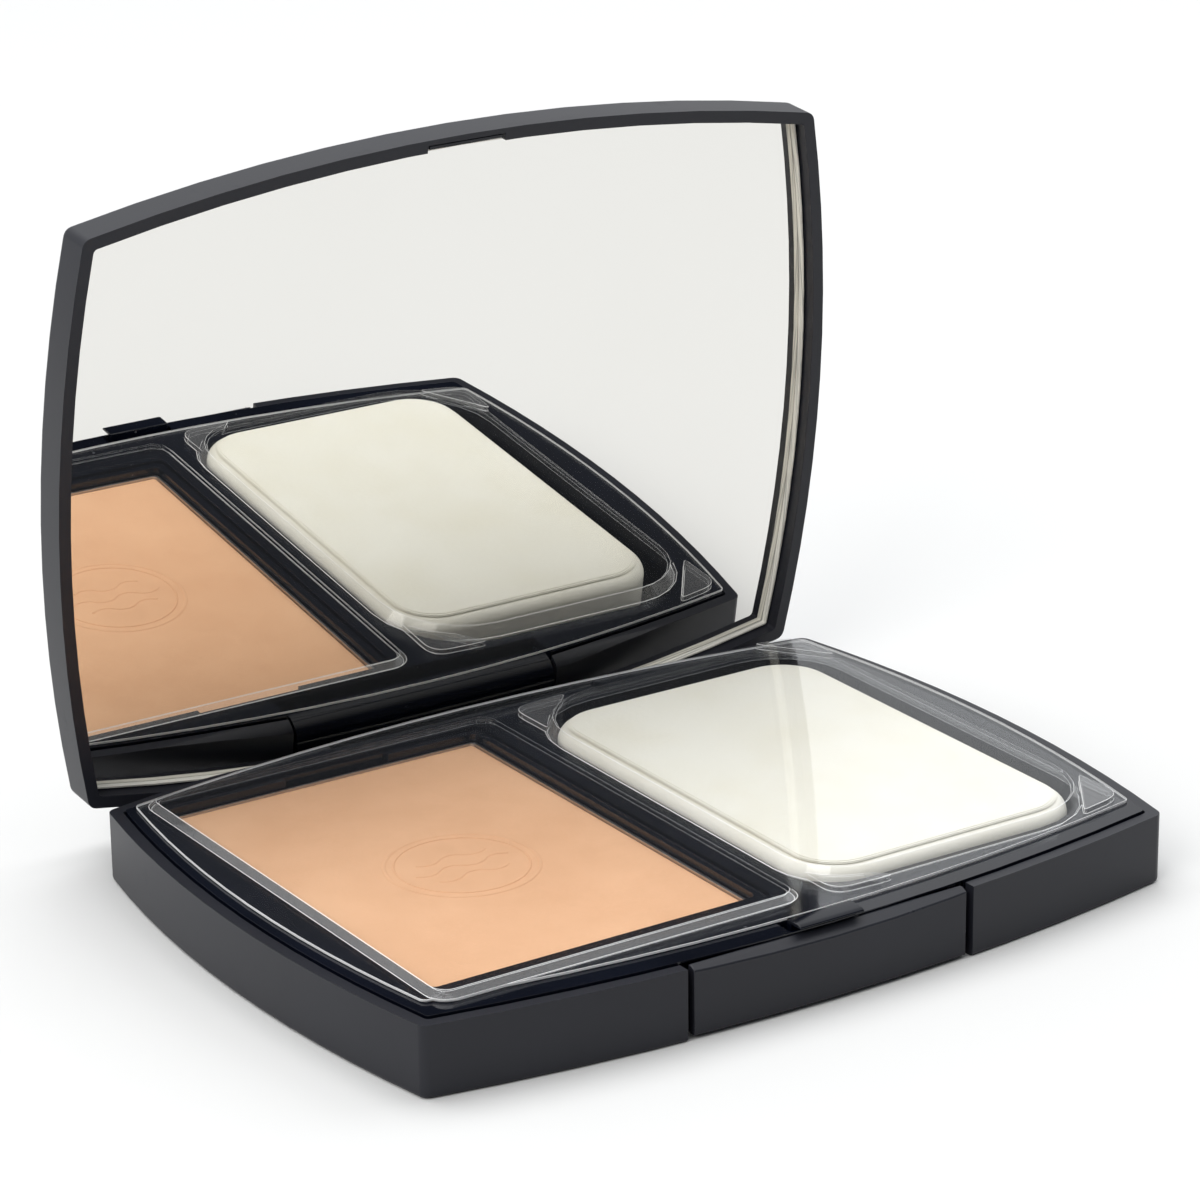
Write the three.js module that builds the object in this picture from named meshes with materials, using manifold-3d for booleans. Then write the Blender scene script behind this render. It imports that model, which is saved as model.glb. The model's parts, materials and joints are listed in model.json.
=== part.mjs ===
// Powder compact: a bowed rectangular case with a hinged mirror lid, a press-in front button that
// frees the latch, a refill of pressed powder, a sponge and a clear moulded cover over both.
// Millimetres, +Z up. X runs across the case, +Y points to the hinge, and the origin is the centre
// of the underside. The lid is modelled closed and then swung open about its hinge.

import * as THREE from 'three';
import { mergeVertices } from 'three/addons/utils/BufferGeometryUtils.js';
import Module from 'manifold-3d';

const wasm = await Module();
wasm.setup();

// Case outline: four bowed sides that meet in small round corners.
const caseWidth = 98.5;
const caseDepth = 74.1;
const sideBow = 3.25;
const frontBow = 4.54;
const cornerRadius = 1.2;

// Heights of the closed case.
const baseHeight = 7.9;
const partingGap = 0.15;
const lidHeight = 4.85;
const floorThickness = 1.2;
const wallThickness = 1.4;
const lidSkin = 0.8;
const fitGap = 0.2;
const bottomEdge = 0.5;
const lidEdge = 0.8;

// Hinge: an axis along X, a knuckle on the lid and two steel pins in the base's ears.
const hingeY = 33.9;
const hingeZ = 5.0;
const openAngle = THREE.MathUtils.degToRad(85);
const knuckleRadius = 2.75;
const knuckleHalf = 17.2;
const notchHalf = 17.6;
const pinRadius = 0.75;
const pinBore = 0.95;
const pinInner = 12.5;
const pinOuter = 21.6;
const earOuter = 20.4;
const earTop = 6.9;
const swingHalf = 37;
const swingRadius = 2.95;

// Front button and latch.
const buttonHalf = 16.95;
const buttonSlotHalf = 17.75;
const buttonBack = -35.1;
const buttonTravel = 0.8;
const hookHalf = 4.0;
const hookTop = 9.0;
const slideHalf = 13;
const slideBack = -33.75;
const springWall = -31.4;

// Tray, refill and sponge, all sunk in the base.
const trayBottom = floorThickness + fitGap;
const trayTop = 8.15;
const lipBottom = 7.95;
const wellFloor = 2.4;
const powderWell = { left: -41.9, right: -0.6, front: -26.7, back: 30.3 };
const spongeWell = { left: 3.5, right: 43.0, front: -28.6, back: 29.6 };
const spongeWellRadii = [6, 10.5, 9, 10.5];
const frameTop = 7.9;
const frameWall = 1.0;
const frameFloor = 0.7;
const panWall = 0.35;
const panTop = 7.0;
const powderTop = 6.9;
const spongeTop = 9.3;

// Clear cover: a thin moulded sheet lying on the tray, a little off centre.
const coverBottom = trayTop + 0.05;
const coverSheet = 0.3;
const coverShift = { x: 0.6, y: 1.2 };
const plateauTop = 9.2;
const domeTop = 9.95;
const tabTop = 9.1;

// Mirror, held on the lid's skin by two strips of tape.
const mirrorFront = 10.45;
const mirrorBack = 11.75;

const farAway = 60;
const arcSteps = 12;
const cornerSteps = 4;

// ---- outlines ----

function arcPoints(centreX, centreY, radius, from, to, steps) {
  const arc = new THREE.EllipseCurve(centreX, centreY, radius, radius, from, to, false, 0);
  return arc.getPoints(steps).slice(0, -1);
}

// Radius of the arc that rises by bow over a chord of 2 * half.
function bowRadius(half, bow) {
  return (half * half + bow * bow) / (2 * bow);
}

// The case outline, moved inward by insetX at the sides and insetY at the front and back.
function barrelShape(insetX, insetY, radius) {
  const frontArc = bowRadius(caseWidth / 2 - sideBow, frontBow);
  const sideArc = bowRadius(caseDepth / 2 - frontBow, sideBow);
  const frontCentre = new THREE.Vector2(0, frontArc - caseDepth / 2);
  const sideCentre = new THREE.Vector2(caseWidth / 2 - sideArc, 0);

  // the centre of the front right corner's round lies on both inset arcs
  const reachFront = frontArc - insetY - radius;
  const reachSide = sideArc - insetX - radius;
  const across = sideCentre.clone().sub(frontCentre);
  const apart = across.length();
  const along = (reachFront ** 2 - reachSide ** 2 + apart ** 2) / (2 * apart);
  const aside = Math.sqrt(reachFront ** 2 - along ** 2);
  const unit = across.normalize();
  const corner = new THREE.Vector2(
    frontCentre.x + along * unit.x - aside * unit.y,
    frontCentre.y + along * unit.y + aside * unit.x,
  );

  const front = Math.atan2(corner.x, frontCentre.y - corner.y);
  const side = Math.atan2(-corner.y, corner.x - sideCentre.x);
  const half = Math.PI / 2;
  const bowFront = frontArc - insetY;
  const bowSide = sideArc - insetX;
  return new THREE.Shape([
    ...arcPoints(0, frontCentre.y, bowFront, -half - front, -half + front, arcSteps),
    ...arcPoints(corner.x, corner.y, radius, -half + front, -side, cornerSteps),
    ...arcPoints(sideCentre.x, 0, bowSide, -side, side, arcSteps),
    ...arcPoints(corner.x, -corner.y, radius, side, half - front, cornerSteps),
    ...arcPoints(0, -frontCentre.y, bowFront, half - front, half + front, arcSteps),
    ...arcPoints(-corner.x, -corner.y, radius, half + front, Math.PI - side, cornerSteps),
    ...arcPoints(-sideCentre.x, 0, bowSide, Math.PI - side, Math.PI + side, arcSteps),
    ...arcPoints(-corner.x, corner.y, radius, Math.PI + side, 3 * half - front, cornerSteps),
  ]);
}

// A rectangle with its own radius at the front left, front right, back right and back left.
function roundedRect({ left, right, front, back }, radii) {
  const [frontLeft, frontRight, backRight, backLeft] = radii;
  const quarter = Math.PI / 2;
  const steps = 6;
  const corners = [
    [left + frontLeft, front + frontLeft, frontLeft, 2 * quarter],
    [right - frontRight, front + frontRight, frontRight, 3 * quarter],
    [right - backRight, back - backRight, backRight, 4 * quarter],
    [left + backLeft, back - backLeft, backLeft, 5 * quarter],
  ];
  return new THREE.Shape(corners.flatMap(([x, y, radius, start]) => {
    const arc = new THREE.EllipseCurve(x, y, radius, radius, start, start + quarter, false, 0);
    return arc.getPoints(steps);
  }));
}

function shrink({ left, right, front, back }, by) {
  return { left: left + by, right: right - by, front: front + by, back: back - by };
}

function polygon(points) {
  return new THREE.Shape(points.map(([x, y]) => new THREE.Vector2(x, y)));
}

// A polygon whose corners are soft curves that start and end `reach` from each corner.
function softPolygon(points, reaches) {
  const steps = 6;
  return new THREE.Shape(points.flatMap(([x, y], index) => {
    const corner = new THREE.Vector2(x, y);
    const [start, end] = [points.length - 1, 1].map((step) => {
      const next = new THREE.Vector2(...points[(index + step) % points.length]);
      return next.sub(corner).setLength(reaches[index]).add(corner);
    });
    return new THREE.QuadraticBezierCurve(start, corner, end).getPoints(steps);
  }));
}

// ---- solids ----

function solid(geometry) {
  const bare = geometry.clone();
  bare.deleteAttribute('normal');
  bare.deleteAttribute('uv');
  const merged = mergeVertices(bare, 1e-4);
  return new wasm.Manifold(new wasm.Mesh({
    numProp: 3,
    vertProperties: new Float32Array(merged.attributes.position.array),
    triVerts: new Uint32Array(merged.index.array),
  }));
}

function geometryOf(body) {
  const { vertProperties, triVerts } = body.getMesh();
  const geometry = new THREE.BufferGeometry();
  geometry.setAttribute('position', new THREE.BufferAttribute(vertProperties, 3));
  geometry.setIndex(new THREE.BufferAttribute(triVerts, 1));
  geometry.computeVertexNormals();
  return geometry;
}

function prism(shape, bottom, top) {
  const geometry = new THREE.ExtrudeGeometry(shape, { depth: top - bottom, bevelEnabled: false });
  return solid(geometry.translate(0, 0, bottom));
}

// A prism whose top edge is rounded in `rise` upward and `inset` inward.
function edgedPrism(shape, bottom, top, rise, inset, segments) {
  const below = 3;
  const geometry = new THREE.ExtrudeGeometry(shape, {
    depth: top - rise - bottom + below,
    bevelThickness: rise,
    bevelSize: inset,
    bevelOffset: -inset,
    bevelSegments: segments,
  });
  const whole = solid(geometry.translate(0, 0, bottom - below));
  return whole.intersect(box(-farAway, farAway, -farAway, farAway, bottom, top + below));
}

function box(left, right, front, back, bottom, top) {
  const geometry = new THREE.BoxGeometry(right - left, back - front, top - bottom);
  return solid(geometry.translate((left + right) / 2, (front + back) / 2, (bottom + top) / 2));
}

// A profile drawn in the YZ plane, carried along X.
function alongX(profile, left, right) {
  const geometry = new THREE.ExtrudeGeometry(profile, { depth: right - left, bevelEnabled: false });
  const axes = new THREE.Matrix4().makeBasis(
    new THREE.Vector3(0, 1, 0),
    new THREE.Vector3(0, 0, 1),
    new THREE.Vector3(1, 0, 0),
  );
  return solid(geometry.applyMatrix4(axes).translate(left, 0, 0));
}

// A round bar on the hinge axis.
function hingeBar(radius, left, right, sides) {
  const geometry = new THREE.CylinderGeometry(radius, radius, right - left, sides);
  geometry.rotateZ(Math.PI / 2);
  return solid(geometry.translate((left + right) / 2, hingeY, hingeZ));
}

// Both sides at once: the solid and its mirror image in the YZ plane.
function bothSides(make) {
  return make(1).add(make(-1));
}

function spanX(side, inner, outer) {
  return side > 0 ? [inner, outer] : [-outer, -inner];
}

// ---- materials ----

function plastic(colour, roughness) {
  return new THREE.MeshStandardMaterial({ color: colour, roughness, metalness: 0 });
}

function metal(colour, roughness) {
  return new THREE.MeshStandardMaterial({ color: colour, roughness, metalness: 1 });
}

const satinBlack = plastic(0x2b2d30, 0.45);
const glossBlack = plastic(0x0d1018, 0.12);
const steel = metal(0xb9bbbe, 0.3);
const tape = plastic(0xd9d6cc, 0.8);

function piece(name, body, material) {
  const mesh = new THREE.Mesh(geometryOf(body), material);
  mesh.name = name;
  return mesh;
}

// ---- base ----

// Shallow matte tub: open at the front for the button and notched at the back for the lid's knuckle.
function baseShell() {
  const outer = edgedPrism(barrelShape(0, 0, cornerRadius), -baseHeight, 0, bottomEdge, bottomEdge, 3);
  const upright = outer.rotate([180, 0, 0]);
  const inside = barrelShape(wallThickness, wallThickness, cornerRadius / 2);
  const ears = bothSides((side) => {
    const [left, right] = spanX(side, notchHalf, earOuter);
    return box(left, right, 31.2, 35.6, floorThickness / 2, earTop);
  });
  // beside the knuckle the lid's back wall swings down over this rounded rim
  const swing = bothSides((side) => {
    const [left, right] = spanX(side, notchHalf - 1, swingHalf);
    return box(left, right, hingeY, farAway, hingeZ, baseHeight + 1)
      .subtract(hingeBar(swingRadius, -farAway, farAway, 72));
  });
  const labelRecess = box(-16, 16, 8, 22, -1, 0.3);
  return upright
    .subtract(prism(inside, floorThickness, baseHeight + 1))
    .subtract(swing)
    .add(ears)
    .subtract(hingeBar(pinBore, -pinOuter, pinOuter, 24))
    .subtract(box(-notchHalf, notchHalf, 30.9, farAway, floorThickness, baseHeight + 1))
    .subtract(box(-buttonSlotHalf, buttonSlotHalf, -farAway, buttonBack + 1, -1, baseHeight + 1))
    .subtract(labelRecess);
}

// Glossy insert that fills the tub: two wells, a slot for the hook, a chamber for the latch and a
// thin lip that reaches over the back of the button.
function innerTray() {
  const inset = wallThickness + fitGap;
  const chamberTop = 7.2;
  const earRoom = bothSides((side) => {
    const [left, right] = spanX(side, notchHalf - 1, pinOuter + 0.6);
    return box(left, right, 31, farAway, 0, earTop + fitGap);
  });
  return prism(barrelShape(inset, inset, cornerRadius / 2), trayBottom, trayTop)
    .subtract(prism(roundedRect(powderWell, [1, 1, 1, 1]), wellFloor, trayTop + 1))
    .subtract(prism(roundedRect(spongeWell, spongeWellRadii), wellFloor, trayTop + 1))
    .subtract(box(-notchHalf, notchHalf, 30.9, farAway, 0, trayTop + 1))
    .subtract(earRoom)
    .subtract(box(-buttonSlotHalf, buttonSlotHalf, -farAway, buttonBack + 1, 0, lipBottom))
    .subtract(box(-slideHalf - 1.2, slideHalf + 1.2, buttonBack, springWall, 0, chamberTop))
    .subtract(box(-hookHalf - 0.5, hookHalf + 0.5, buttonBack, -32.65, 2, trayTop + 1));
}

// Blank sheet stuck in a shallow recess under the case.
function baseLabel() {
  return prism(roundedRect({ left: -15.7, right: 15.7, front: 8.3, back: 21.7 }, [1, 1, 1, 1]), 0.08, 0.22);
}

function hingePin(side) {
  const [left, right] = spanX(side, pinInner, pinOuter);
  return hingeBar(pinRadius, left, right, 20);
}

// ---- refill ----

const frameRect = shrink(powderWell, fitGap);
const panRect = shrink(frameRect, frameWall + fitGap);
const frameBottom = wellFloor + fitGap;
const panBottom = frameBottom + frameFloor + 0.3;

// Black plastic cassette with a notch in its back wall for lifting the pan out.
function refillFrame() {
  const inner = prism(roundedRect(shrink(frameRect, frameWall), [0.8, 0.8, 0.8, 0.8]),
    frameBottom + frameFloor, frameTop + 1);
  const notch = box(-26, -13, frameRect.back - frameWall - 0.5, frameRect.back - 0.35, 6, frameTop + 1);
  return prism(roundedRect(frameRect, [0.9, 0.9, 0.9, 0.9]), frameBottom, frameTop)
    .subtract(inner)
    .subtract(notch);
}

function panAdhesive() {
  const bottom = frameBottom + frameFloor + 0.08;
  return prism(roundedRect(shrink(panRect, 5), [1, 1, 1, 1]), bottom, bottom + 0.14);
}

function powderPan() {
  return prism(roundedRect(panRect, [0.8, 0.8, 0.8, 0.8]), panBottom, panTop)
    .subtract(prism(roundedRect(shrink(panRect, panWall), [0.6, 0.6, 0.6, 0.6]), panBottom + 0.3, panTop + 1));
}

function pressedPowder() {
  const rect = shrink(panRect, panWall + 0.1);
  return edgedPrism(roundedRect(rect, [0.6, 0.6, 0.6, 0.6]), panBottom + 0.4, powderTop, 0.25, 0.25, 1);
}

// ---- sponge and clear cover ----

function sponge() {
  const rect = { left: 4.0, right: 39.8, front: -28.4, back: 25.5 };
  return edgedPrism(roundedRect(rect, [6.5, 6.5, 6.5, 6.5]), wellFloor + 0.1, spongeTop, 0.9, 0.9, 3);
}

// The three raised areas of the cover, each grown inward by `inset` and lowered by `drop`.
function coverRise(inset, drop) {
  const plateauRect = shrink({ left: -42.8, right: 1.3, front: -30.0, back: 31.0 }, inset);
  const domeRect = shrink({ left: 2.8, right: 43.0, front: -30.0, back: 29.6 }, inset);
  const domeRadii = [8, 11, 9, 11].map((radius) => radius - inset);
  const low = coverBottom - 0.5;
  const plateau = edgedPrism(roundedRect(plateauRect, [2.5, 2.5, 2.5, 2.5].map((r) => r - inset)),
    low, plateauTop - drop, 0.7, 0.8, 1);
  const dome = edgedPrism(roundedRect(domeRect, domeRadii), low, domeTop - drop, 1.4, 0.9, 1);
  const tabs = [
    [[4.0, 30.5], [4.1, 23.0], [11.4, 30.9]],
    [[44.2, -27.9], [43.9, -21.0], [38.0, -29.2]],
    [[4.0, -30.9], [4.1, -23.4], [11.4, -31.3]],
    [[44.2, 30.3], [43.9, 23.4], [38.0, 31.6]],
  ].map((corners) => {
    const middleX = (corners[0][0] + corners[1][0] + corners[2][0]) / 3;
    const middleY = (corners[0][1] + corners[1][1] + corners[2][1]) / 3;
    const keep = 1 - inset / 2;
    const drawn = corners.map(([x, y]) => [
      middleX + (x - middleX) * keep,
      middleY + (y - middleY) * keep,
    ]);
    return prism(softPolygon(drawn, [2.4, 0.9, 0.9].map((reach) => reach * keep)), low, tabTop - drop);
  });
  return tabs.reduce((sum, tab) => sum.add(tab), plateau.add(dome));
}

// Thin clear sheet: a flat flange, a low plateau over the powder, a taller dome over the sponge
// and a small finger tab at each corner of the dome.
function clearCover() {
  const flange = prism(barrelShape(2.4, 3.1, 0.8), coverBottom, coverBottom + coverSheet)
    .translate([coverShift.x, coverShift.y, 0]);
  const below = box(-farAway, farAway, -farAway, farAway, 0, coverBottom);
  return flange
    .add(coverRise(0, 0))
    .subtract(coverRise(coverSheet, coverSheet))
    .subtract(below);
}

// ---- button and latch ----

// Front segment of the case; its top edge slopes back so that a finger finds it.
function pushButton() {
  const slope = box(-farAway, farAway, -6, 6, 0, 4)
    .rotate([THREE.MathUtils.radToDeg(Math.atan2(0.7, 1.4)), 0, 0])
    .translate([0, -37, 7.15]);
  const edge = 0.15;
  return prism(barrelShape(edge, edge, cornerRadius), 0.45, 7.85)
    .intersect(box(-buttonHalf, buttonHalf, -farAway, buttonBack, 0, 9))
    .subtract(slope);
}

// Slide behind the button: a bar with an upright post that ends in a forward-facing nose.
function latchSlide() {
  const front = buttonBack + fitGap;
  const postFront = -34.5;
  const noseFront = -36.15;
  const nose = polygon([
    [slideBack, 6],
    [slideBack, hookTop],
    [noseFront + 0.5, hookTop],
    [noseFront, hookTop - 0.2],
    [noseFront, hookTop - 0.45],
    [postFront, hookTop - 0.45],
    [postFront, 6],
  ].reverse());
  return box(-slideHalf, slideHalf, front, slideBack, 2, 6.8).add(alongX(nose, -hookHalf, hookHalf));
}

// Bowed leaf spring between the slide and the tray.
function buttonSpring(side) {
  const half = 4.6;
  const rise = 1.85;
  const leaf = 0.2;
  const radius = bowRadius(half, rise);
  const spread = Math.asin(half / radius);
  const centreX = side * 6.6;
  const centreY = slideBack + 0.15 + radius;
  const from = -Math.PI / 2 - spread;
  const to = -Math.PI / 2 + spread;
  const outer = new THREE.EllipseCurve(centreX, centreY, radius, radius, from, to, false, 0);
  const inner = new THREE.EllipseCurve(centreX, centreY, radius - leaf, radius - leaf, to, from, true, 0);
  return prism(new THREE.Shape([...outer.getPoints(12), ...inner.getPoints(12)]), 3.2, 5.6);
}

// ---- lid, drawn closed ----

const lidBottom = baseHeight + partingGap;
const lidTop = lidBottom + lidHeight;

// Shallow shell with a thin wall all round and the hinge knuckle moulded to its back wall.
function lidShell() {
  const outline = barrelShape(0, 0, cornerRadius);
  const inside = barrelShape(wallThickness, wallThickness, cornerRadius / 2);
  const shell = edgedPrism(outline, lidBottom, lidTop, lidEdge, lidEdge, 4)
    .subtract(prism(inside, lidBottom - 1, lidTop - lidSkin));
  const web = prism(outline, hingeZ - 0.4, lidBottom + fitGap)
    .intersect(box(-knuckleHalf, knuckleHalf, 35.5, farAway, 0, farAway));
  const catchSeat = box(-4.9, 4.9, -36.4, -35.2, lidBottom - 1, 9.3);
  return shell
    .add(web)
    .add(hingeBar(knuckleRadius, -knuckleHalf, knuckleHalf, 40))
    .subtract(bothSides((side) => hingeBar(pinBore, ...spanX(side, pinInner - 0.4, knuckleHalf + 1), 24)))
    .subtract(catchSeat);
}

// Lip in the lid's front wall that the nose hooks over.
function lidCatch() {
  const profile = polygon([
    [-36.3, 8.15],
    [-35.95, 8.15],
    [-35.85, 8.25],
    [-35.85, 8.45],
    [-36.3, 8.45],
  ]);
  return alongX(profile, -4.6, 4.6);
}

function mirrorGlass() {
  const inset = wallThickness + fitGap;
  return prism(barrelShape(inset, inset, 0.3), mirrorFront, mirrorBack);
}

function mirrorTape(side) {
  const [left, right] = spanX(side, 10, 38);
  return box(left, right, -24, 24, mirrorBack + 0.08, lidTop - lidSkin - 0.08);
}

// ---- assembly ----

const base = new THREE.Group();
base.add(
  piece('base_shell', baseShell(), satinBlack),
  piece('inner_tray', innerTray(), glossBlack),
  piece('base_label', baseLabel(), plastic(0xc9c9c6, 0.6)),
  piece('hinge_pin_right', hingePin(1), steel),
  piece('hinge_pin_left', hingePin(-1), steel),
  piece('refill_frame', refillFrame(), glossBlack),
  piece('pan_adhesive', panAdhesive(), tape),
  piece('powder_pan', powderPan(), metal(0xc6c7c9, 0.35)),
  piece('pressed_powder', pressedPowder(), plastic(0xe8ba94, 0.9)),
  piece('sponge', sponge(), plastic(0xf6f1e4, 0.95)),
  piece('clear_cover', clearCover(), plastic(0xd8dcdf, 0.05)),
);

const button = new THREE.Group();
button.add(
  piece('push_button', pushButton(), satinBlack),
  piece('latch_slide', latchSlide(), glossBlack),
  piece('button_spring_right', buttonSpring(1), steel),
  piece('button_spring_left', buttonSpring(-1), steel),
);

const lidParts = new THREE.Group();
lidParts.position.set(0, -hingeY, -hingeZ);
lidParts.add(
  piece('lid_shell', lidShell(), satinBlack),
  piece('lid_catch', lidCatch(), glossBlack),
  piece('mirror_glass', mirrorGlass(), metal(0xe8e8e6, 0.03)),
  piece('mirror_tape_right', mirrorTape(1), tape),
  piece('mirror_tape_left', mirrorTape(-1), tape),
);

const lid = new THREE.Group();
lid.position.set(0, hingeY, hingeZ);
lid.rotation.x = -openAngle;
lid.add(lidParts);

const compact = new THREE.Group();
compact.add(base, button, lid);

export default compact;
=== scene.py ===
import json
import math

import bmesh
import bpy
from mathutils import Matrix, Quaternion, Vector


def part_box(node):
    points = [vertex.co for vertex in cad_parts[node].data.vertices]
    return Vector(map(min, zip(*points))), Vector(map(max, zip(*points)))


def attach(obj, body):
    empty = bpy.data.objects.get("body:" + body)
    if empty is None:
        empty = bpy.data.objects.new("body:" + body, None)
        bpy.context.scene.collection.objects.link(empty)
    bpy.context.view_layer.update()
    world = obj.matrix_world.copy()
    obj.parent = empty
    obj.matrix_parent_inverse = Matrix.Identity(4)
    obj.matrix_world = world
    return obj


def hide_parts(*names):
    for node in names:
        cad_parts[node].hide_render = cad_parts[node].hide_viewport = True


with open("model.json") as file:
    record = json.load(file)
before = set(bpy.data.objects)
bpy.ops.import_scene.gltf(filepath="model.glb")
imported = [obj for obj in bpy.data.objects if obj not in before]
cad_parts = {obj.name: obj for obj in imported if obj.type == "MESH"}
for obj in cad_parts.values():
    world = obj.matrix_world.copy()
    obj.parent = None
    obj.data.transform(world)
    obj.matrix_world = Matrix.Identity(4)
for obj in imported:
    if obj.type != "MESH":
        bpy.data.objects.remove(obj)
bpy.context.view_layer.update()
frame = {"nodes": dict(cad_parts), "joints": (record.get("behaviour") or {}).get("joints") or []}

mm = 0.001
nodes = frame["nodes"]
hingeJoint = next(j for j in frame["joints"] if j["name"] == "lid_hinge")
hinge = Vector(hingeJoint["pos_m"])
openAngle = math.radians(-hingeJoint["range_deg"][0])
# takes a point of the closed lid to where the open lid holds it
lidSwing = Matrix.Translation(hinge) @ Matrix.Rotation(-openAngle, 4, "X") @ Matrix.Translation(-hinge)


# ---- camera, floor and light ----

cameraValues = dict(
    aim=(-0.00233, 0.00233, 0.03184),
    turn=33.166,  # degrees round to the left of the button
    rise=20.147,
    distance=0.47347,
    roll=-0.673,
    lens=135.1,
)

studioValues = dict(
    skyBright=(0.97, 0.985, 1.0),
    skyDim=(0.05, 0.055, 0.065),
    skyStrength=0.9,
    skyLean=0.55,  # how much brighter the wall behind the hinge is than the one before the button
    skyRamp=(0.05, 0.72),
    aim=(0, 0, 0.03),
    floorColour=(0.75, 0.75, 0.745),
    floorSize=9.0,
    boxes=[  # name, place, size, watts, colour
        ("key_light", (-0.75, -0.35, 0.62), 0.55, 3.9, (1.0, 0.985, 0.96)),
        ("fill_light", (0.95, 0.0, 0.7), 0.7, 3.0, (0.97, 0.985, 1.0)),
        ("top_light", (0.0, 0.35, 1.05), 0.9, 6.4, (1.0, 1.0, 1.0)),
    ],
)


def placeCamera(values):
    turn, rise = math.radians(values["turn"]), math.radians(values["rise"])
    back = Vector((-math.sin(turn) * math.cos(rise), -math.cos(turn) * math.cos(rise), math.sin(rise)))
    camera = bpy.data.objects.new("camera", bpy.data.cameras.new("camera"))
    bpy.context.scene.collection.objects.link(camera)
    camera.data.lens = values["lens"]
    camera.data.sensor_width = 36
    camera.data.clip_start = 0.01
    camera.location = Vector(values["aim"]) + back * values["distance"]
    camera.rotation_mode = "QUATERNION"
    roll = Quaternion((0, 0, 1), math.radians(values["roll"]))
    camera.rotation_quaternion = back.to_track_quat("Z", "Y") @ roll
    bpy.context.scene.camera = camera


def placeLights(values):
    # a bright ceiling and far wall, and a dim room on the button's side
    world = bpy.data.worlds.new("studio")
    world.use_nodes = True
    make, link = world.node_tree.nodes.new, world.node_tree.links.new
    sky = world.node_tree.nodes["Background"]
    sky.inputs["Strength"].default_value = values["skyStrength"]
    way = make("ShaderNodeSeparateXYZ")
    lean = make("ShaderNodeMath")
    lean.operation = "MULTIPLY_ADD"
    lean.inputs[1].default_value = values["skyLean"]
    ramp = make("ShaderNodeValToRGB")
    ramp.color_ramp.interpolation = "EASE"
    stops = zip(ramp.color_ramp.elements, values["skyRamp"], (values["skyDim"], values["skyBright"]))
    for stop, place, colour in stops:
        stop.position = place
        stop.color = (*colour, 1)
    link(make("ShaderNodeTexCoord").outputs["Generated"], way.inputs[0])
    link(way.outputs["Y"], lean.inputs[0])
    link(way.outputs["Z"], lean.inputs[2])
    link(lean.outputs[0], ramp.inputs["Fac"])
    link(ramp.outputs["Color"], sky.inputs["Color"])
    bpy.context.scene.world = world
    for name, place, size, watts, colour in values["boxes"]:
        lamp = bpy.data.lights.new(name, "AREA")
        lamp.size = size
        lamp.energy = watts
        lamp.color = colour
        box = bpy.data.objects.new(name, lamp)
        bpy.context.scene.collection.objects.link(box)
        box.location = place
        box.rotation_euler = (Vector(place) - Vector(values["aim"])).to_track_quat("Z", "Y").to_euler()


# ---- shader maths ----


class Wire:
    # a socket that sums and products can be written with
    def __init__(self, look, socket):
        self.look = look
        self.socket = socket

    def sum(self, operation, first, second):
        return self.look.add("ShaderNodeMath", {"operation": operation}, {0: first, 1: second})

    def __add__(self, other):
        return self.sum("ADD", self, other)

    def __radd__(self, other):
        return self.sum("ADD", other, self)

    def __sub__(self, other):
        return self.sum("SUBTRACT", self, other)

    def __rsub__(self, other):
        return self.sum("SUBTRACT", other, self)

    def __mul__(self, other):
        return self.sum("MULTIPLY", self, other)

    def __rmul__(self, other):
        return self.sum("MULTIPLY", other, self)

    def __pow__(self, other):
        return self.sum("POWER", self, other)


class Look:
    # one material, made node by node
    def __init__(self, name):
        self.material = bpy.data.materials.new(name)
        self.material.use_nodes = True
        self.tree = self.material.node_tree
        self.tree.nodes.clear()
        self.place = self.add("ShaderNodeTexCoord", give="Object")

    def add(self, kind, settings=None, sockets=None, give=0):
        node = self.tree.nodes.new(kind)
        for key, value in (settings or {}).items():
            setattr(node, key, value)
        for key, value in (sockets or {}).items():
            if isinstance(value, Wire):
                self.tree.links.new(value.socket, node.inputs[key])
            else:
                node.inputs[key].default_value = value
        return Wire(self, node.outputs[give]) if node.outputs else node

    def noise(self, scale, detail=3, roughness=0.55, place=None):
        sockets = {"Vector": place or self.place, "Scale": scale, "Detail": detail, "Roughness": roughness}
        return self.add("ShaderNodeTexNoise", None, sockets, "Fac")

    def stretched(self, scale):
        return self.add("ShaderNodeMapping", None, {"Vector": self.place, "Scale": scale})

    def between(self, value, low, high):
        # 0 under low, 1 over high, smooth between
        sockets = {"Value": value, "From Min": low, "From Max": high}
        return self.add("ShaderNodeMapRange", {"interpolation_type": "SMOOTHSTEP"}, sockets)

    def mix(self, share, first, second):
        shades = [c if isinstance(c, Wire) else (*c, 1) for c in (first, second)]
        return self.add("ShaderNodeMix", {"data_type": "RGBA"}, {0: share, 6: shades[0], 7: shades[1]}, 2)

    def bump(self, height, strength, depth):
        sockets = {"Height": height, "Strength": strength, "Distance": depth}
        return self.add("ShaderNodeBump", None, sockets)

    def principled(self, **sockets):
        named = {key.replace("_", " "): value for key, value in sockets.items()}
        for key, value in named.items():
            if isinstance(value, tuple) and len(value) == 3:
                named[key] = (*value, 1)
        return self.add("ShaderNodeBsdfPrincipled", None, named)

    def finish(self, shader):
        self.add("ShaderNodeOutputMaterial", None, {"Surface": shader})
        return self.material


# ---- finishes ----

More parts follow.
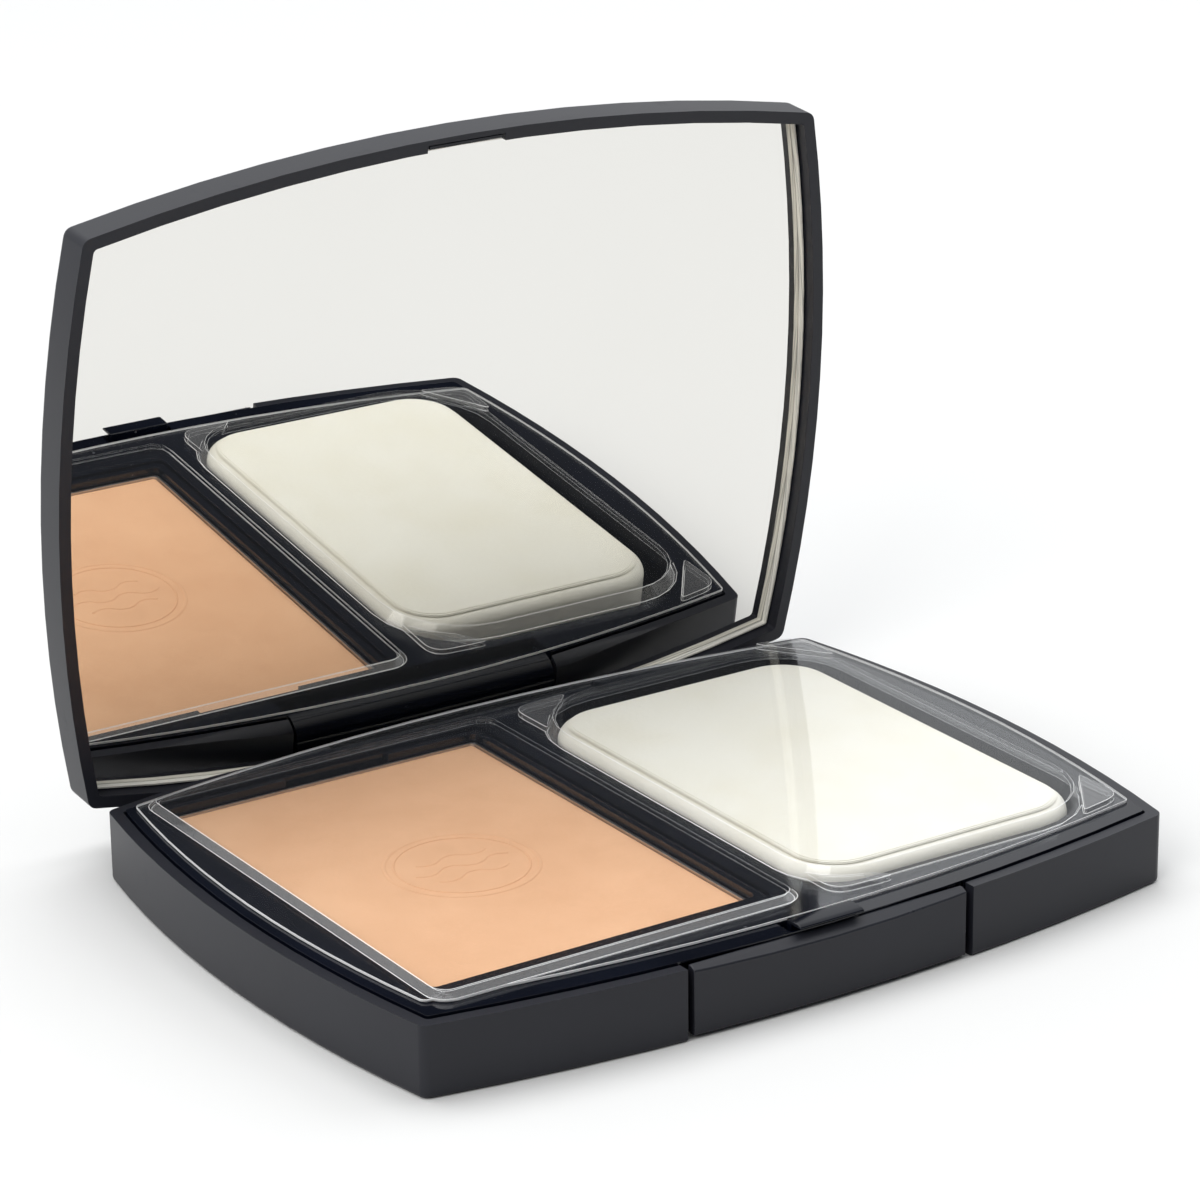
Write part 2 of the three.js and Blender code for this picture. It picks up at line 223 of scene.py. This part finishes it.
satinValues = dict(dark=(0.0145, 0.015, 0.0205), pale=(0.0175, 0.0188, 0.0255), roughness=0.33, edgeShift=-0.12,
                   grainScale=4300)
glossValues = dict(dark=(0.0018, 0.0026, 0.006), pale=(0.0036, 0.005, 0.011), dust=(0.25, 0.26, 0.28),
                   roughness=0.06)
powderValues = dict(dark=(0.82, 0.47, 0.27), pale=(0.93, 0.56, 0.335), speck=(0.93, 0.66, 0.45), grainScale=3600)
spongeValues = dict(dark=(0.87, 0.83, 0.7), pale=(0.95, 0.925, 0.835), poreScale=1500)
# the edge share of milky white is a painted highlight for the light that the sheet's edges and bends catch
clearValues = dict(tint=(0.985, 0.988, 0.99), shine=(0.88, 0.89, 0.9), milk=(0.95, 0.95, 0.95), faceOn=0.04,
                   haze=0.004, glint=0.66, wallHaze=0.07, wallGlint=0.8, edgeHighlightPaint=0.92, edgeGlint=1.0)
mirrorValues = dict(silver=(0.84, 0.83, 0.8), film=(0.82, 0.81, 0.775), ground=(0.84, 0.82, 0.74),
                    cut=(0.5, 0.49, 0.45))


def satinPlastic(name, shift=0.0):
    look = Look(name)
    values = satinValues
    cloud = look.noise(38, 4)
    grain = look.noise(values["grainScale"], 2)
    rub = look.noise(240, 5, 0.7)
    colour = look.mix(look.between(cloud, 0.3, 0.75), values["dark"], values["pale"])
    roughness = values["roughness"] + shift + cloud * 0.1 + look.between(rub, 0.55, 0.8) * 0.08
    normal = look.bump(grain, 0.3, 0.012 * mm)
    return look.finish(look.principled(Base_Color=colour, Roughness=roughness, Normal=normal,
                                       Specular_IOR_Level=0.3))


def glossPlastic(name):
    look = Look(name)
    values = glossValues
    cloud = look.noise(45, 4)
    dust = look.between(look.noise(900, 1, 0.3), 0.8, 0.84)
    wave = look.noise(160, 1)
    colour = look.mix(look.between(cloud, 0.3, 0.7), values["dark"], values["pale"])
    colour = look.mix(dust * 0.25, colour, values["dust"])
    roughness = values["roughness"] + cloud * 0.05 + dust * 0.3
    normal = look.bump(wave, 0.25, 0.02 * mm)
    return look.finish(look.principled(Base_Color=colour, Roughness=roughness, Normal=normal,
                                       Specular_IOR_Level=0.36))


def pressedPowder(name):
    look = Look(name)
    values = powderValues
    cloud = look.noise(70, 5, 0.6)
    grain = look.noise(values["grainScale"], 4, 0.7)
    speck = look.between(look.noise(2300, 2, 0.5), 0.62, 0.75)
    shade = look.between(cloud * 0.6 + grain * 0.4, 0.3, 0.68)
    colour = look.mix(shade, values["dark"], values["pale"])
    colour = look.mix(speck * 0.16, colour, values["speck"])
    normal = look.bump(grain + cloud * 1.5, 0.3, 0.018 * mm)
    return look.finish(look.principled(Base_Color=colour, Roughness=0.86 + grain * 0.12, Normal=normal,
                                       Specular_IOR_Level=0.2))


def foamRubber(name):
    look = Look(name)
    values = spongeValues
    cloud = look.noise(90, 4, 0.6)
    pores = look.add("ShaderNodeTexVoronoi", {"feature": "F1"},
                     {"Vector": look.place, "Scale": values["poreScale"], "Randomness": 1}, "Distance")
    # painted shade: the pore hollows are painted darker, on top of the bumps that the pores give
    poreShade = 1 - look.between(pores, 0.1, 0.42)
    colour = look.mix(look.between(cloud, 0.25, 0.75), values["pale"], values["dark"])
    colour = look.mix(0.3 + cloud * 0.4, values["pale"], colour)
    colour = look.mix(poreShade * 0.22, colour, values["dark"])
    normal = look.bump(pores * 0.7 + look.noise(3400, 3) * 0.3, 0.5, 0.05 * mm)
    return look.finish(look.principled(Base_Color=colour, Roughness=0.88 + cloud * 0.1, Normal=normal,
                                       Specular_IOR_Level=0.25))


def clearSheet(name, haze, gloss):
    # gloss gives the shine at a glance; haze is the share of milky white in it
    look = Look(name)
    values = clearValues
    cloud = look.noise(120, 3)
    scuff = look.between(look.noise(1, 3, 0.6, look.stretched((60, 900, 300))), 0.62, 0.8)
    away = look.add("ShaderNodeLayerWeight", None, {"Blend": 0.5}, "Facing")
    clear = look.add("ShaderNodeBsdfTransparent", None, {"Color": (*values["tint"], 1)})
    shine = look.principled(Base_Color=values["shine"], Roughness=0.03 + cloud * 0.03, Metallic=1.0)
    milk = look.principled(Base_Color=values["milk"], Roughness=0.25 + cloud * 0.1)
    share = (values["faceOn"] + away ** 5) * gloss + scuff * 0.008
    glossy = look.add("ShaderNodeMixShader", None, {0: share, 1: clear, 2: shine})
    return look.finish(look.add("ShaderNodeMixShader", None, {0: haze * (0.8 + cloud * 0.4), 1: glossy, 2: milk}))


def silveredGlass(name):
    look = Look(name)
    film = look.between(look.noise(30, 4), 0.35, 0.8)
    lint = look.between(look.noise(2600, 2), 0.74, 0.8)
    colour = look.mix(film * 0.3, mirrorValues["silver"], mirrorValues["film"])
    roughness = 0.004 + film * 0.006 + lint * 0.1
    return look.finish(look.principled(Base_Color=colour, Metallic=1.0, Roughness=roughness))


def groundGlass(name):
    look = Look(name)
    cut = look.noise(1, 3, 0.6, look.stretched((60, 2200, 60)))
    colour = look.mix(look.between(cut, 0.45, 0.62), mirrorValues["ground"], mirrorValues["cut"])
    return look.finish(look.principled(Base_Color=colour, Roughness=0.3 + cut * 0.2,
                                       Normal=look.bump(cut, 0.4, 0.02 * mm)))


def drawnMetal(name, colour, pale, stretch):
    look = Look(name)
    streak = look.noise(1, 4, 0.6, look.stretched(stretch))
    shade = look.mix(streak, colour, pale)
    return look.finish(look.principled(Base_Color=shade, Metallic=1.0, Roughness=0.22 + streak * 0.2,
                                       Normal=look.bump(streak, 0.3, 0.01 * mm)))


def paperSheet(name, colour, pale):
    look = Look(name)
    fibre = look.noise(1, 4, 0.6, look.stretched((900, 2600, 2600)))
    cloud = look.noise(160, 3)
    shade = look.mix(fibre * 0.6 + cloud * 0.4, colour, pale)
    return look.finish(look.principled(Base_Color=shade, Roughness=0.7 + fibre * 0.2,
                                       Normal=look.bump(fibre, 0.4, 0.02 * mm)))


placeCamera(cameraValues)
placeLights(studioValues)
print("camera and lights placed")

satin = satinPlastic("satin black plastic")
satinEdge = satinPlastic("satin black edge", satinValues["edgeShift"])
gloss = glossPlastic("gloss black plastic")
powder = pressedPowder("pressed powder")
foam = foamRubber("foam rubber")
sheet = clearSheet("clear sheet", clearValues["haze"], clearValues["glint"])
sheetWall = clearSheet("clear sheet wall", clearValues["wallHaze"], clearValues["wallGlint"])
# painted highlight: the sheet's edges and bends are made nearly all milky white to stand in for the light they
# catch
sheetEdge = clearSheet("clear sheet edge", clearValues["edgeHighlightPaint"], clearValues["edgeGlint"])
silver = silveredGlass("silvered glass")
ground = groundGlass("ground glass edge")
steel = drawnMetal("drawn steel", (0.42, 0.42, 0.43), (0.62, 0.62, 0.63), (60, 3000, 3000))
aluminium = drawnMetal("drawn aluminium", (0.6, 0.6, 0.61), (0.74, 0.74, 0.75), (900, 900, 900))
paper = paperSheet("label paper", (0.52, 0.52, 0.5), (0.64, 0.64, 0.62))
tape = paperSheet("adhesive tape", (0.6, 0.58, 0.52), (0.74, 0.72, 0.66))
print("finishes made")


# ---- mesh helpers ----

hingeZone = dict(radius=3.2, halfWidth=24)


def meltedCopy(node, reach=0.002):
    # a CAD node's mesh with its points merged and each flat face whole
    body = bmesh.new()
    body.from_mesh(nodes[node].data)
    bmesh.ops.remove_doubles(body, verts=body.verts, dist=reach * mm)
    bmesh.ops.dissolve_limit(body, angle_limit=math.radians(0.4), verts=body.verts, edges=body.edges)
    bmesh.ops.recalc_face_normals(body, faces=body.faces)
    return body


def sharpEdges(body, degrees):
    limit = math.radians(degrees)
    return [e for e in body.edges if len(e.link_faces) == 2 and e.calc_face_angle(0) > limit]


def nearAxis(point):
    return (point - hinge).yz.length < hingeZone["radius"] * mm


def byTheHinge(edge):
    # the bores, ears and knuckle keep their own edges
    return any(nearAxis(v.co) and abs(v.co.x) < hingeZone["halfWidth"] * mm for v in edge.verts)


def roundEdges(body, edges, width, segments=3, slotIndex=None):
    made = bmesh.ops.bevel(body, geom=edges, offset=width, offset_type="OFFSET", affect="EDGES",
                           segments=segments, profile=0.5, material=-1, clamp_overlap=True)
    if slotIndex is not None:
        for face in made["faces"]:
            face.material_index = slotIndex


def finishPiece(body, name, rideOn, materials, replaced=(), smoothUnder=35):
    mesh = bpy.data.meshes.new(name)
    for face in body.faces:
        face.smooth = True
    for edge in body.edges:
        edge.smooth = len(edge.link_faces) == 2 and edge.calc_face_angle(0) < math.radians(smoothUnder)
    body.to_mesh(mesh)
    body.free()
    piece = bpy.data.objects.new(name, mesh)
    bpy.context.scene.collection.objects.link(piece)
    for material in materials:
        mesh.materials.append(material)
    weighted = piece.modifiers.new("weighted normals", "WEIGHTED_NORMAL")
    weighted.weight = 100
    weighted.keep_sharp = True
    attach(piece, rideOn)
    if replaced:
        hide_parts(*replaced)
    print(f"{name}: {len(mesh.polygons)} faces")
    return piece


def roundedCopy(node, name, rideOn, materials, width, segments=3, sharp=40, shine=None):
    # materials are the face, the rounded edges, and what lies in the region that shine tests
    body = meltedCopy(node)
    edges = [e for e in sharpEdges(body, sharp) if not byTheHinge(e)]
    roundEdges(body, edges, width * mm, segments, 1 if len(materials) > 1 else None)
    for face in body.faces:
        if shine and shine(face):
            face.material_index = 2
    return finishPiece(body, name, rideOn, materials, (node,))


# ---- case ----

edgeValues = dict(shell=0.16, tray=0.22, button=0.14, lid=0.14, slide=0.12, refill=0.12, pan=0.05)

roundedCopy("base_shell", "case_base", "base", [satin, satinEdge], edgeValues["shell"])
roundedCopy("inner_tray", "gloss_tray", "base", [gloss], edgeValues["tray"])
roundedCopy("push_button", "front_button", "button", [satin, satinEdge], edgeValues["button"])
roundedCopy("latch_slide", "latch_hook", "button", [gloss], edgeValues["slide"])
roundedCopy("lid_shell", "mirror_lid", "lid", [satin, satinEdge, gloss], edgeValues["lid"],
            shine=lambda face: nearAxis(face.calc_center_median()))
roundedCopy("lid_catch", "lid_lip", "lid", [gloss], edgeValues["slide"])
print("case made")


# ---- refill and powder ----

powderEdge = dict(width=0.18, segments=2)
embossValues = dict(
    centre=(-21.2, 0.4),
    rings=[(8.2, 0.5), (7.2, 0.26)],  # radius, width
    waves=[(-2.4, 3), (0, 4), (2.4, 3)],  # place along the pan, number of arcs
    bend=2.1,
    halfSweep=42,
    line=0.4,
    rise=0.1,
)


def stroke(body, centre, radius, start, sweep, width, rise, base):
    # a low half-round ridge bent round a centre, its ends closed
    profile = [(-0.5, -0.6), (-0.42, 0.3), (-0.2, 0.85), (0, 1), (0.2, 0.85), (0.42, 0.3), (0.5, -0.6)]
    points = [body.verts.new((centre[0] + radius + across * width, centre[1], base + up * rise))
              for across, up in profile]
    face = body.faces.new(points)
    turn = Matrix.Rotation(math.radians(start), 3, "Z")
    bmesh.ops.rotate(body, verts=points, cent=(centre[0], centre[1], 0), matrix=turn)
    whole = abs(sweep) >= 360
    bmesh.ops.spin(body, geom=[face], cent=(centre[0], centre[1], 0), axis=(0, 0, 1),
                   angle=math.radians(sweep), steps=max(8, int(abs(sweep) / 5)), use_merge=whole,
                   use_duplicate=False)


def powderCake():
    low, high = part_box("pressed_powder")
    body = meltedCopy("pressed_powder")
    roundEdges(body, sharpEdges(body, 20), powderEdge["width"] * mm, powderEdge["segments"])
    values = embossValues
    centre = (values["centre"][0] * mm, values["centre"][1] * mm)
    rise = values["rise"] * mm
    for radius, width in values["rings"]:
        stroke(body, centre, radius * mm, 0, 360, width * mm, rise, high.z)
    bend, half = values["bend"] * mm, values["halfSweep"]
    chord = 2 * bend * math.sin(math.radians(half))
    lift = bend * math.cos(math.radians(half))
    for row, count in values["waves"]:
        for part in range(count):
            up = 1 if part % 2 else -1
            middle = (centre[0] + (part - (count - 1) / 2) * chord, centre[1] + row * mm - up * lift)
            stroke(body, middle, bend, up * 90 - half, 2 * half, values["line"] * mm, rise, high.z)
    bmesh.ops.remove_doubles(body, verts=body.verts, dist=0.002 * mm)
    bmesh.ops.recalc_face_normals(body, faces=body.faces)
    return finishPiece(body, "powder_cake", "base", [powder], ("pressed_powder",))


roundedCopy("refill_frame", "refill_cassette", "base", [gloss], edgeValues["refill"])
roundedCopy("powder_pan", "pan", "base", [aluminium], edgeValues["pan"], 2)
powderCake()
print("refill made")


# ---- sponge ----

spongeShape = dict(corner=6.5, cornerSegments=12, round=1.6, roundSegments=6, crown=0.28, rings=9, ring=1.9)


def spongePad():
    low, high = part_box("sponge")
    values = spongeShape
    body = bmesh.new()
    bmesh.ops.create_cube(body, size=1)
    size = high - low
    bmesh.ops.scale(body, vec=size, verts=body.verts)
    bmesh.ops.translate(body, vec=(low + high) / 2, verts=body.verts)
    upright = [e for e in body.edges if abs(e.verts[0].co.z - e.verts[1].co.z) > size.z / 2]
    roundEdges(body, upright, values["corner"] * mm, values["cornerSegments"])
    level = [e for e in body.edges if abs(e.verts[0].co.z - e.verts[1].co.z) < size.z / 10
             and e.calc_face_angle(0) > math.radians(60)]
    roundEdges(body, level, values["round"] * mm, values["roundSegments"])
    top = [f for f in body.faces if f.normal.z > 0.99]
    for ring in range(values["rings"]):
        bmesh.ops.inset_region(body, faces=top, thickness=values["ring"] * mm, use_even_offset=True)
        share = (ring + 1) / values["rings"]
        rise = (1 - (1 - share) ** 2) * values["crown"] * mm
        for vert in {v for f in top for v in f.verts}:
            vert.co.z = high.z + rise
    piece = finishPiece(body, "sponge_pad", "base", [foam], ("sponge",), 50)
    return piece


spongePad()
print("sponge made")


# ---- clear cover ----

coverValues = dict(
    merge=0.07,
    flange=0.35,  # how far over the underside the flange's own edges reach
    lift=0.03,
    foot=0.15,
    footSegments=2,
    brow=0.48,
    browSegments=5,
    line=(0.785, 0.97),  # steepness of the faces that catch the light as a line round each rise
    tabTop=9.1,
    tabEdge=0.32,
    tabSegments=3,
    tabReach=7,
    tabs=[(4.0, 30.5), (44.2, -27.9), (4.0, -30.9), (44.2, 30.3)],
    slack=0.02,
)


def byTab(point, reach):
    return any((point.xy - Vector(tip) * mm).length < reach * mm for tip in coverValues["tabs"])


def onTabTop(height):
    return abs(height - coverValues["tabTop"] * mm) < coverValues["slack"] * mm


def sheetFinish(face, flat):
    # 0 is the clear sheet, 1 its walls and the tabs, 2 its edges and bends, painted bright with milky white as a
    # highlight
    up = abs(face.normal.z)
    top = max(v.co.z for v in face.verts)
    near = byTab(face.calc_center_median(), coverValues["tabReach"])
    low, high = coverValues["line"]
    if up < 0.98 and top < flat:
        return 2
    if low < up < high and top > flat:
        return 2
    if near and onTabTop(top):
        return 2 if 0.3 < up < 0.97 else 1
    return 1 if up < 0.97 else 0


def clearCover():
    low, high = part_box("clear_cover")
    values = coverValues
    body = meltedCopy("clear_cover", values["merge"])
    flat = low.z + values["flange"] * mm
    tabs = [v for v in body.verts if onTabTop(v.co.z)]
    brows = [e for e in sharpEdges(body, 25) if min(v.co.z for v in e.verts) > flat
             and not any(v in tabs for v in e.verts)]
    roundEdges(body, brows, values["brow"] * mm, values["browSegments"])
    tabs = [v for v in body.verts if onTabTop(v.co.z)]
    tabEdges = [e for e in sharpEdges(body, 25) if all(v in tabs for v in e.verts)]
    feet = [e for e in sharpEdges(body, 25) if max(v.co.z for v in e.verts) < flat]
    roundEdges(body, feet, values["foot"] * mm, values["footSegments"])
    roundEdges(body, [e for e in tabEdges if e.is_valid], values["tabEdge"] * mm, values["tabSegments"])
    floor = low.z + values["lift"] * mm
    for vert in body.verts:
        # the sheet rests just clear of the tray, so that the two faces never coincide
        vert.co.z = max(vert.co.z, floor)
    for face in body.faces:
        face.material_index = sheetFinish(face, flat)
    return finishPiece(body, "clear_lid", "base", [sheet, sheetWall, sheetEdge], ("clear_cover",), 50)


clearCover()
print("clear cover made")


# ---- mirror ----

mirrorEdge = dict(chamfer=0.2, depth=0.85, wall=0.15)


def mirrorPlate():
    body = meltedCopy("mirror_glass")
    roundEdges(body, sharpEdges(body, 50), mirrorEdge["chamfer"] * mm, 1)
    back = lidSwing.inverted().to_3x3()
    for face in body.faces:
        if abs((back @ face.normal).z) < 0.9:
            face.material_index = 1
    return finishPiece(body, "mirror", "lid", [silver, ground], ("mirror_glass",), 20)


def mirrorRim():
    # the ground edge of the glass, standing a little proud all round the silver
    body = meltedCopy("mirror_glass")
    bmesh.ops.transform(body, matrix=lidSwing.inverted(), verts=body.verts)
    plate = [f for f in body.faces if f.normal.z < -0.9]
    bmesh.ops.inset_region(body, faces=plate, thickness=mirrorEdge["wall"] * mm, use_even_offset=True)
    spare = [f for f in body.faces if f.normal.z > -0.5 or f in plate]
    bmesh.ops.delete(body, geom=spare, context="FACES")
    rim = bmesh.ops.extrude_face_region(body, geom=body.faces[:])
    bmesh.ops.translate(body, vec=(0, 0, -mirrorEdge["depth"] * mm),
                        verts=[g for g in rim["geom"] if isinstance(g, bmesh.types.BMVert)])
    bmesh.ops.recalc_face_normals(body, faces=body.faces)
    bmesh.ops.transform(body, matrix=lidSwing, verts=body.verts)
    return finishPiece(body, "mirror_rim", "lid", [ground])


mirrorRim()
mirrorPlate()
print("mirror made")


# ---- small hardware ----

for node, material in [
    ("base_label", paper),
    ("hinge_pin_right", steel),
    ("hinge_pin_left", steel),
    ("pan_adhesive", tape),
    ("button_spring_right", steel),
    ("button_spring_left", steel),
    ("mirror_tape_right", tape),
    ("mirror_tape_left", tape),
]:
    mesh = nodes[node].data
    mesh.materials.clear()
    mesh.materials.append(material)


# ---- floor ----

def layFloor(values):
    look = Look("pale floor")
    cloud = look.noise(2, 3)
    shade = look.mix(cloud, values["floorColour"], tuple(c * 0.985 for c in values["floorColour"]))
    material = look.finish(look.principled(Base_Color=shade, Roughness=0.75, Specular_IOR_Level=0.15))
    body = bmesh.new()
    bmesh.ops.create_grid(body, x_segments=1, y_segments=1, size=values["floorSize"] / 2)
    mesh = bpy.data.meshes.new("floor")
    body.to_mesh(mesh)
    body.free()
    floor = bpy.data.objects.new("floor", mesh)
    bpy.context.scene.collection.objects.link(floor)
    mesh.materials.append(material)


layFloor(studioValues)
bpy.context.scene.view_settings.view_transform = "Standard"
print("floor laid")
